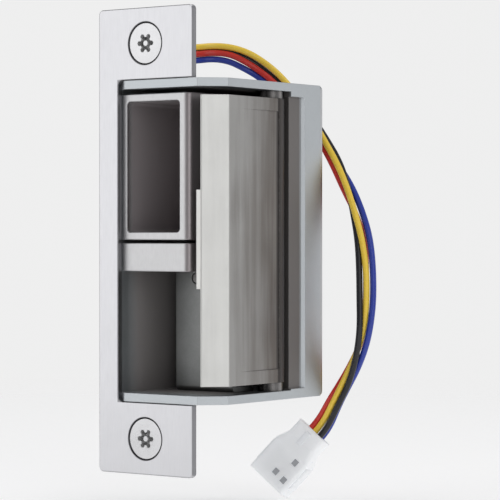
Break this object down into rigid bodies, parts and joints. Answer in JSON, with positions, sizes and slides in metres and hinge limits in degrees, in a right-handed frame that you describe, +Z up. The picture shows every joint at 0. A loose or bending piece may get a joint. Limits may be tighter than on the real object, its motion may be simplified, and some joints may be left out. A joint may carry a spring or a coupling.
{
  "type": "electric door strike",
  "caption": "Electric door strike: flush faceplate and case with a sprung side keeper, a deadbolt box, a solenoid lock lever and a wired plug.",
  "frame": {"origin": "midway between the two frame screws, on the plane of the mounting ears' backs, which rest on the door frame", "axes": "+X to the side where the keeper opens, +Y into the door frame along the screws, +Z up"},
  "size_m": [0.0703, 0.058, 0.1339],
  "materials": {
    "faceplate_steel": "satin",
    "screw_steel": "satin",
    "case_metal": "satin cast",
    "cover_steel": "satin",
    "insert_steel": "satin",
    "latch_plate_zinc": "dull zinc plate",
    "keeper_metal": "satin cast",
    "pin_steel": "ground",
    "spring_steel": "drawn wire",
    "lever_steel": "sintered",
    "yoke_zinc": "zinc plate",
    "bobbin_plastic": "matte",
    "coil_winding": "enamelled wire",
    "plunger_steel": "nickel plate",
    "grommet_rubber": "matte",
    "board_laminate": "solder mask",
    "plug_nylon": "natural nylon",
    "terminal_tin": "tin plate",
    "wire_yellow": "pvc insulation",
    "wire_red": "pvc insulation",
    "wire_blue": "pvc insulation",
    "wire_black": "pvc insulation"
  },
  "bodies": {
    "strike": {"faceplate": "faceplate_steel", "frame_screws": "screw_steel", "case": "case_metal", "back_cover": "cover_steel", "cover_screws": "screw_steel", "deadbolt_box": "insert_steel", "guard_block": "insert_steel", "insert_screws": "screw_steel", "latch_plate": "latch_plate_zinc", "latch_plate_screws": "screw_steel", "keeper_pin": "pin_steel", "keeper_bushes": "pin_steel", "keeper_spring": "spring_steel", "lever_pin": "pin_steel", "solenoid_yoke": "yoke_zinc", "solenoid_bobbin": "bobbin_plastic", "solenoid_coil": "coil_winding", "solenoid_core": "pin_steel", "plunger_spring": "spring_steel", "solenoid_screws": "screw_steel", "cable_grommet": "grommet_rubber", "terminal_board": "board_laminate", "plug_housing": "plug_nylon", "plug_terminals": "terminal_tin", "wire_yellow": "wire_yellow", "wire_red": "wire_red", "wire_blue": "wire_blue", "wire_black": "wire_black"},
    "keeper": {"keeper": "keeper_metal"},
    "lever": {"lock_lever": "lever_steel"},
    "plunger": {"plunger": "plunger_steel", "link_pin": "pin_steel", "plunger_clip": "spring_steel"}
  },
  "joints": [
    {"name": "keeper_swing", "type": "hinge", "parent": "strike", "child": "keeper", "pos_m": [0.0193, 0.025, 0], "axis": [0, 0, 1], "range_deg": [0, 65], "stiffness_Nm_per_rad": 0.02, "springref_deg": -20.05, "deforming": ["keeper_spring"]},
    {"name": "plunger_slide", "type": "slide", "parent": "strike", "child": "plunger", "axis": [0, 0, 1], "range_m": [0, 0.0029], "stiffness_N_per_m": 200, "springref_m": -0.003, "deforming": ["plunger_spring"]},
    {"name": "lever_turn", "type": "hinge", "parent": "strike", "child": "lever", "pos_m": [0.004, 0, -0.01], "axis": [0, 1, 0], "range_deg": [0, 24]}
  ],
  "couplings": [
    {"joint": "lever_turn", "follows": "plunger_slide", "rad_per_m": 143.47}
  ]
}
